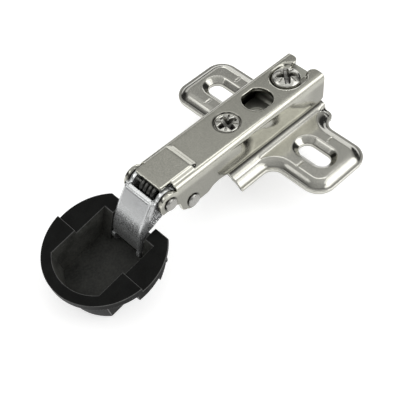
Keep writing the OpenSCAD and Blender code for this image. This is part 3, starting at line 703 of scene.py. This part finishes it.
def turned_screw(name, at, head_r, crown, profile, recess):
    """A screw turned about Z. crown gives the head's height over its radius, profile is the
    outline below it, and recess is the cross: its reach, width, depth and turn in degrees."""
    reach, width, deep, turn = recess
    radii = head_r * np.linspace(0, 1, recess_rings + 1)[1:]
    angles = np.linspace(0, 2 * math.pi, recess_rays, endpoint=False)
    ring, ray = np.meshgrid(radii, angles - math.radians(turn), indexing="ij")
    one_arm, other_arm = np.abs(ring * np.cos(ray)), np.abs(ring * np.sin(ray))
    long, short = np.maximum(one_arm, other_arm), np.minimum(one_arm, other_arm)
    half = width / 2 * (1 - 0.25 * long / reach)
    into = np.minimum(half - short, reach - long)
    well = 0.62 * width - ring
    cut = np.maximum(ease(into / recess_wall), ease(well / 0.5))
    floor = deep * (1 - 0.75 * np.clip(ring / reach, 0, 1) ** 1.6)
    tick = ease((tick_half - np.abs(long - short) / math.sqrt(2)) / 0.16) * (ring < reach)
    sunk = np.maximum(cut * floor, tick_deep * tick)
    high = crown(ring) - sunk
    rows = list(zip(radii, high))
    rows += [(radius, [level] * recess_rays) for radius, level in profile]
    verts = [(0, 0, crown(0.0) - deep)]
    for radius, row in rows:
        verts += [(radius * math.cos(k), radius * math.sin(k), level) for k, level in zip(angles, row)]
    first = [1 + i * recess_rays for i in range(len(rows))]
    turns = [(j, (j + 1) % recess_rays) for j in range(recess_rays)]
    faces = [(0, 1 + j, 1 + k) for j, k in turns]
    for inner, outer in zip(first[:-1], first[1:]):
        faces += [(inner + j, outer + j, outer + k, inner + k) for j, k in turns]
    faces.append(tuple(first[-1] + j for j in range(recess_rays))[::-1])
    mesh = bpy.data.meshes.new(name)
    mesh.from_pydata([((x + at) * MM, y * MM, h * MM) for x, y, h in verts], [], faces)
    mesh.shade_smooth()
    mesh.set_sharp_from_angle(angle=math.radians(50))
    # Painted shade: the recess is darker the deeper it is cut, most of all at its centre.
    depth = np.zeros(len(verts), np.float32)
    depth[0] = 1
    depth[1:1 + sunk.size] = np.clip(sunk / 1.5, 0, 1).ravel()
    mesh.attributes.new("hollow", "FLOAT", "POINT").data.foreach_set("value", depth)
    piece = bpy.data.objects.new(name, mesh)
    bpy.context.collection.objects.link(piece)
    return piece


screw_nickel = plated_metal("screw nickel", (0.50, 0.495, 0.46), 0.20, 0.10, 0.2)
clamp_seat = arm_top - dish_drop
crown_top, crown_round, clamp_head_r = clamp_seat + 2.1, 6.25, 3.6
clamp_screw = turned_screw(
    "domed_clamp_screw", clamp_x, clamp_head_r - 0.12,
    lambda r: crown_top - crown_round + np.sqrt(crown_round ** 2 - r ** 2),
    [(clamp_head_r, crown_top - 1.22), (clamp_head_r, clamp_seat + 0.15),
     (clamp_head_r - 0.15, clamp_seat), (2.0, clamp_seat), (2.0, ridge_high - 4.7),
     (1.7, ridge_high - 5.0)], (2.95, 2.0, 1.9, 50))
side_top, side_r = arm_top - 0.1, 3.0
side_screw = turned_screw(
    "flush_side_screw", side_screw_x, side_r - 0.2,
    lambda r: side_top - 0.18 * (r / side_r) ** 2,
    [(side_r - 0.06, side_top - 0.24), (side_r, side_top - 0.36), (side_r, ridge_low + 0.5),
     (1.6, ridge_low + 0.5), (1.6, ridge_low - 1.3), (2.4, ridge_low - 1.3), (2.4, ridge_low - 2.3)],
    (2.7, 2.0, 1.9, 80))
for screw, node, body in ((clamp_screw, "clamp_screw", "clamp_screw"),
                          (side_screw, "side_adjust_screw", "side_screw")):
    screw.data.materials.append(screw_nickel)
    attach(screw, body)
    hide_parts(node)

# PIVOT PINS
# Four pins of drawn steel that the links turn on. The arm's two are riveted over at both ends
# outside its walls, and the cup's two are pressed into its cheeks.


def soften(node, name, finishes, width, steps=3, corner=32, edge_slot=-1, crease=40):
    """A copy of a solid with its loose triangles joined and its outward edges rounded. The
    rounded edges can take a material slot of their own. Faces that meet at more than the
    crease angle are shaded apart."""
    mesh = frame["nodes"][node].data.copy()
    mesh.name = name
    mesh.materials.clear()
    for finish in finishes:
        mesh.materials.append(finish)
    form = bmesh.new()
    form.from_mesh(mesh)
    bmesh.ops.remove_doubles(form, verts=form.verts, dist=0.002 * MM)
    bmesh.ops.dissolve_degenerate(form, edges=form.edges, dist=0.04 * MM)
    bmesh.ops.dissolve_limit(form, angle_limit=math.radians(0.6), verts=form.verts, edges=form.edges)
    worn = form.edges.layers.float.new("bevel_weight_edge")
    for edge in form.edges:
        outward = edge.is_manifold and edge.is_convex
        edge[worn] = 1.0 if outward and edge.calc_face_angle() > math.radians(corner) else 0.0
    form.to_mesh(mesh)
    form.free()
    piece = bpy.data.objects.new(name, mesh)
    bpy.context.collection.objects.link(piece)
    rounding = piece.modifiers.new("rounding", "BEVEL")
    rounding.width = width * MM
    rounding.segments = steps
    rounding.limit_method = "WEIGHT"
    rounding.miter_outer = "MITER_ARC"
    rounding.use_clamp_overlap = False
    rounding.material = edge_slot
    bpy.context.view_layer.update()
    seen = piece.evaluated_get(bpy.context.evaluated_depsgraph_get())
    rounded = bpy.data.meshes.new_from_object(seen)
    piece.modifiers.clear()
    piece.data = rounded
    rounded.name = name
    rounded.shade_smooth()
    rounded.set_sharp_from_angle(angle=math.radians(crease))
    return piece


pin_steel = plated_metal("riveted steel", (0.34, 0.336, 0.318), 0.26, 0.14, 0.4)
oiled_steel = plated_metal("oiled steel", (0.14, 0.14, 0.135), 0.35, 0.2, 0.4)
for node, body, finish in (("front_arm_pin", "arm", pin_steel), ("rear_arm_pin", "arm", pin_steel),
                           ("lower_cup_pin", "cup", oiled_steel), ("upper_cup_pin", "cup", oiled_steel)):
    pin = soften(node, node.replace("pin", "rivet"), [finish], 0.18)
    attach(pin, body)
    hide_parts(node)

# INNER LINK
# The second link, hidden behind the outer one: a plated steel bar with an eye on the arm's
# rear pin and an open fork on the upper pin in the cup.

inner = soften("inner_link", "forked_inner_link", [bright_nickel], 0.2)
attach(inner, "inner_link")
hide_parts("inner_link")

# CLOSING SPRING
# A torsion spring of oil-black wire wound round the front pin, with one leg under the nose
# panel and one along the outer link. Its wire twists between the arm and the link.

wire_r, coil_r, coil_long = 0.61, 2.5, 5.15
arm_leg, link_leg, coil_turns = 8.0, 5.8, 4
spring_black = plated_metal("oil black wire", (0.10, 0.10, 0.096), 0.28, 0.3, 0.4)
winding = bpy.data.node_groups.new("wound spring", "GeometryNodeTree")
winding.is_modifier = True
spring_inputs = {}
start_turn = math.atan2(link_out[1], link_out[0])
arm_foot = link_high + (0, coil_r)
link_foot_at = link_high + coil_r * link_out
near_y, far_y = coil_long / 2, -coil_long / 2


def on_pin(plan, y):
    """A point in metres, from its place in the side view and across the hinge."""
    return plan[0] * MM, y * MM, plan[1] * MM


for label, kind, value in (
        ("Turns", "NodeSocketFloat", coil_turns + (math.pi / 2 - start_turn) / (2 * math.pi)),
        ("Coil radius", "NodeSocketFloat", coil_r * MM),
        ("Wire radius", "NodeSocketFloat", wire_r * MM),
        ("Coil length", "NodeSocketFloat", -coil_long * MM),
        ("Coil lay", "NodeSocketVector", (math.pi / 2, 0, 0)),
        ("Coil start", "NodeSocketVector", on_pin(link_high, far_y)),
        ("Arm leg from", "NodeSocketVector", on_pin(arm_foot, near_y)),
        ("Arm leg to", "NodeSocketVector", on_pin(arm_foot - (arm_leg, 0), near_y)),
        ("Link leg from", "NodeSocketVector", on_pin(link_foot_at, far_y)),
        ("Link leg to", "NodeSocketVector", on_pin(link_foot_at - link_leg * link_along, far_y))):
    socket = winding.interface.new_socket(label, in_out="INPUT", socket_type=kind)
    spring_inputs[socket.identifier] = value
winding.interface.new_socket("Geometry", in_out="OUTPUT", socket_type="NodeSocketGeometry")
given = winding.nodes.new("NodeGroupInput").outputs
coil = winding.nodes.new("GeometryNodeCurveSpiral")
coil.inputs["Resolution"].default_value = 56
turned = winding.nodes.new("GeometryNodeTransform")
turned.inputs["Rotation"].default_value = (0, 0, start_turn)
laid = winding.nodes.new("GeometryNodeTransform")
bundle = winding.nodes.new("GeometryNodeJoinGeometry")
section = winding.nodes.new("GeometryNodeCurvePrimitiveCircle")
section.inputs["Resolution"].default_value = 20
sweep = winding.nodes.new("GeometryNodeCurveToMesh")
sweep.inputs["Fill Caps"].default_value = True
real = winding.nodes.new("GeometryNodeRealizeInstances")
coat = winding.nodes.new("GeometryNodeSetMaterial")
coat.inputs["Material"].default_value = spring_black
smooth = winding.nodes.new("GeometryNodeSetShadeSmooth")
wire = winding.links.new
wire(given["Turns"], coil.inputs["Rotations"])
wire(given["Coil radius"], coil.inputs["Start Radius"])
wire(given["Coil radius"], coil.inputs["End Radius"])
wire(given["Coil length"], coil.inputs["Height"])
wire(coil.outputs["Curve"], turned.inputs["Geometry"])
wire(turned.outputs["Geometry"], laid.inputs["Geometry"])
wire(given["Coil lay"], laid.inputs["Rotation"])
wire(given["Coil start"], laid.inputs["Translation"])
wire(laid.outputs["Geometry"], bundle.inputs["Geometry"])
for leg in ("Arm leg", "Link leg"):
    line = winding.nodes.new("GeometryNodeCurvePrimitiveLine")
    wire(given[leg + " from"], line.inputs["Start"])
    wire(given[leg + " to"], line.inputs["End"])
    wire(line.outputs["Curve"], bundle.inputs["Geometry"])
wire(given["Wire radius"], section.inputs["Radius"])
wire(bundle.outputs["Geometry"], sweep.inputs["Curve"])
wire(section.outputs["Curve"], sweep.inputs["Profile Curve"])
wire(sweep.outputs["Mesh"], smooth.inputs["Geometry"])
wire(smooth.outputs["Geometry"], real.inputs["Geometry"])
wire(real.outputs["Geometry"], coat.inputs["Geometry"])
wire(coat.outputs["Geometry"], winding.nodes.new("NodeGroupOutput").inputs["Geometry"])
spring = bpy.data.objects.new("wound_closing_spring", bpy.data.meshes.new("wound_closing_spring"))
bpy.context.collection.objects.link(spring)
wound = spring.modifiers.new("winding", "NODES")
wound.node_group = winding
for identifier, value in spring_inputs.items():
    wound[identifier] = value
bpy.context.view_layer.update()
spring_mesh = bpy.data.meshes.new_from_object(
    spring.evaluated_get(bpy.context.evaluated_depsgraph_get()))
spring.modifiers.clear()
spring.data = spring_mesh
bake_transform(spring)
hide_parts("closing_spring")

# CUP
# Black plastic moulded in one piece: a stepped flange that lies on the glass, a boss with two
# flats that drops into the hole, and a pocket for the links with a spark-grained floor.

cup_at, cup_tilt = (55.23, 2.47), math.radians(10.93)
pocket_half, pocket_r, pocket_floor = 8.55, 12.4, -9.0


def black_plastic(name, tone, shine, low_gloss, high_gloss, grain_size, depth):
    """Moulded plastic with the tool's grain."""
    material = bpy.data.materials.new(name)
    material.use_nodes = True
    tree = material.node_tree
    surface = tree.nodes["Principled BSDF"]
    surface.inputs["Specular IOR Level"].default_value = shine
    where = tree.nodes.new("ShaderNodeTexCoord").outputs["Object"]
    grain = noise(tree, where, grain_size, 3)
    uneven = combine(tree, "ADD", grain, noise(tree, where, 320, 3))
    colour = tree.nodes.new("ShaderNodeValToRGB")
    colour.color_ramp.elements[0].position = 0.36
    colour.color_ramp.elements[0].color = (*[c * 0.5 for c in tone], 1)
    colour.color_ramp.elements[1].position = 0.64
    colour.color_ramp.elements[1].color = (*[c * 1.6 for c in tone], 1)
    tree.links.new(combine(tree, "MULTIPLY", uneven, 0.5), colour.inputs["Fac"])
    tree.links.new(colour.outputs["Color"], surface.inputs["Base Color"])
    gloss = ranged(tree, uneven, 0.6, 1.4, low_gloss, high_gloss)
    tree.links.new(gloss, surface.inputs["Roughness"])
    relief = tree.nodes.new("ShaderNodeBump")
    relief.inputs["Strength"].default_value = 0.5
    relief.inputs["Distance"].default_value = depth * MM
    tree.links.new(grain, relief.inputs["Height"])
    tree.links.new(relief.outputs["Normal"], surface.inputs["Normal"])
    return material


# The rounded edges take a lighter, glossier copy of the black plastic as a painted highlight.
cup_finishes = [
    black_plastic("satin black plastic", (0.0045, 0.0047, 0.0043), 0.08, 0.36, 0.5, 3200, 0.01),
    black_plastic("black edge with painted highlight", (0.06, 0.06, 0.058), 0.5, 0.28, 0.4, 3200, 0.01),
    black_plastic("grained black floor", (0.0215, 0.022, 0.0195), 0.25, 0.5, 0.7, 1900, 0.05),
    black_plastic("grained black wall painted lighter", (0.039, 0.0395, 0.0355), 0.25, 0.5, 0.7, 1900, 0.05)]
turn_back = np.array([[math.cos(cup_tilt), 0, -math.sin(cup_tilt)], [0, 1, 0],
                      [math.sin(cup_tilt), 0, math.cos(cup_tilt)]])


def in_cup(point):
    """A point of the part in the cup's own axes, in millimetres."""
    return turn_back @ (np.array(point) / MM - (cup_at[0], 0, cup_at[1]))


cup = soften("hinge_cup", "moulded_cup", cup_finishes, 0.13, steps=2, edge_slot=1, crease=20)
for face in cup.data.polygons:
    x, y, z = in_cup(face.center)
    sunk = abs(y) < pocket_half + 0.05 and math.hypot(x, y) < pocket_r + 0.05
    if face.material_index == 0 and sunk and pocket_floor - 0.1 < z < -1.4:
        # Faces that turn sideways take the wall copy, and its lighter tone is painted light.
        face.material_index = 2 if (turn_back @ np.array(face.normal))[2] > 0.7 else 3
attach(cup, "cup")
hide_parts("hinge_cup")

# STUDIO
# A white table in a room that is dim at the sides and pale overhead. Nine soft boxes stand
# round the hinge, so that each plated face mirrors a bright panel beside a darker gap.

table_z = -10.3
bpy.ops.mesh.primitive_plane_add(size=8, location=(0, 0, table_z * MM))
table = bpy.context.object
table.name = "white_table"
white = bpy.data.materials.new("white table")
white.use_nodes = True
tree = white.node_tree
paint = tree.nodes["Principled BSDF"]
paint.inputs["Base Color"].default_value = (0.65, 0.65, 0.65, 1)
paint.inputs["Roughness"].default_value = 0.9
paint.inputs["Specular IOR Level"].default_value = 0.0
paint.inputs["Emission Color"].default_value = (1, 1, 1, 1)
ray = tree.nodes.new("ShaderNodeLightPath")
shown = combine(tree, "MAXIMUM", ray.outputs["Is Camera Ray"], ray.outputs["Is Glossy Ray"])
shown = combine(tree, "MAXIMUM", shown, ray.outputs["Is Transmission Ray"])
tree.links.new(combine(tree, "MULTIPLY", shown, 0.62), paint.inputs["Emission Strength"])
table.data.materials.append(white)

world = bpy.data.worlds.new("dim room")
bpy.context.scene.world = world
world.use_nodes = True
tree = world.node_tree
facing = tree.nodes.new("ShaderNodeTexCoord").outputs["Generated"]
split = tree.nodes.new("ShaderNodeSeparateXYZ")
tree.links.new(facing, split.inputs[0])
sky = tree.nodes.new("ShaderNodeValToRGB")
sky.color_ramp.elements[0].position = 0.48
sky.color_ramp.elements[0].color = (0.05, 0.05, 0.05, 1)
sky.color_ramp.elements[1].position = 0.74
sky.color_ramp.elements[1].color = (0.70, 0.70, 0.69, 1)
sky.color_ramp.elements.new(0.93).color = (1.0, 1.0, 0.99, 1)
tree.links.new(split.outputs["Z"], sky.inputs["Fac"])
tree.links.new(sky.outputs["Color"], tree.nodes["Background"].inputs["Color"])


def soft_lamp(name, towards, away, wide, high, radiance):
    """A soft box that looks at the hinge from a direction and a distance, with its size and the
    brightness that it shows."""
    lamp = bpy.data.lights.new(name, "AREA")
    lamp.shape = "RECTANGLE"
    lamp.size, lamp.size_y = wide, high
    lamp.energy = radiance * math.pi * wide * high
    holder = bpy.data.objects.new(name, lamp)
    way = Vector(towards).normalized()
    aim = Vector((20 * MM, 0, 5 * MM))
    turned = way.to_track_quat("Z", "Y").to_matrix().to_4x4()
    holder.matrix_world = Matrix.Translation(aim + way * away) @ turned
    bpy.context.collection.objects.link(holder)


soft_lamp("near_soft_box", (-0.41, 0.85, 0.36), 0.8, 0.8, 0.5, 1.3)
soft_lamp("near_strip", (-0.41, 0.72, 0.56), 0.7, 0.7, 0.28, 1.6)
soft_lamp("front_soft_box", (0.95, -0.20, 0.20), 0.8, 0.9, 0.36, 0.74)
soft_lamp("corner_soft_box", (0.63, 0.77, 0.12), 0.8, 0.24, 0.3, 1.8)
soft_lamp("rear_soft_box", (-0.80, -0.48, 0.28), 0.8, 0.4, 0.5, 1.4)
soft_lamp("far_soft_box", (-0.41, -0.82, 0.40), 0.8, 0.7, 0.3, 1.0)
soft_lamp("near_top_box", (-0.41, 0.52, 0.75), 0.8, 0.5, 0.26, 1.5)
soft_lamp("nose_strip", (0.42, -0.48, 0.77), 0.8, 0.3, 0.2, 2.0)
soft_lamp("overhead_strip", (-0.41, -0.157, 0.893), 0.9, 0.6, 0.1, 2.0)

# CAMERA
# The photograph's own viewpoint, worked out from the lines of the plate, the arm and the cup.
# It looks down on the hinge from the side of the near wing.

azimuth, elevation, roll = math.radians(139.54), math.radians(50.85), math.radians(-4.94)
aim_across, aim_up, distance = 17.33, 19.09, 229.78
back = Vector((math.sin(azimuth) * math.cos(elevation),
               -math.cos(azimuth) * math.cos(elevation), math.sin(elevation)))
level = Vector((math.cos(azimuth), math.sin(azimuth), 0))
upright = back.cross(level)
right = math.cos(roll) * level + math.sin(roll) * upright
up = -math.sin(roll) * level + math.cos(roll) * upright
eye = -aim_across * right - aim_up * up + distance * back
camera = bpy.data.objects.new("camera", bpy.data.cameras.new("camera"))
camera.data.sensor_width = 36
camera.data.lens = 80.37
camera.data.clip_start = 0.01
camera.matrix_world = Matrix.Translation(eye * MM) @ Matrix((right, up, back)).transposed().to_4x4()
bpy.context.collection.objects.link(camera)
bpy.context.scene.camera = camera
bpy.context.scene.view_settings.view_transform = "Standard"
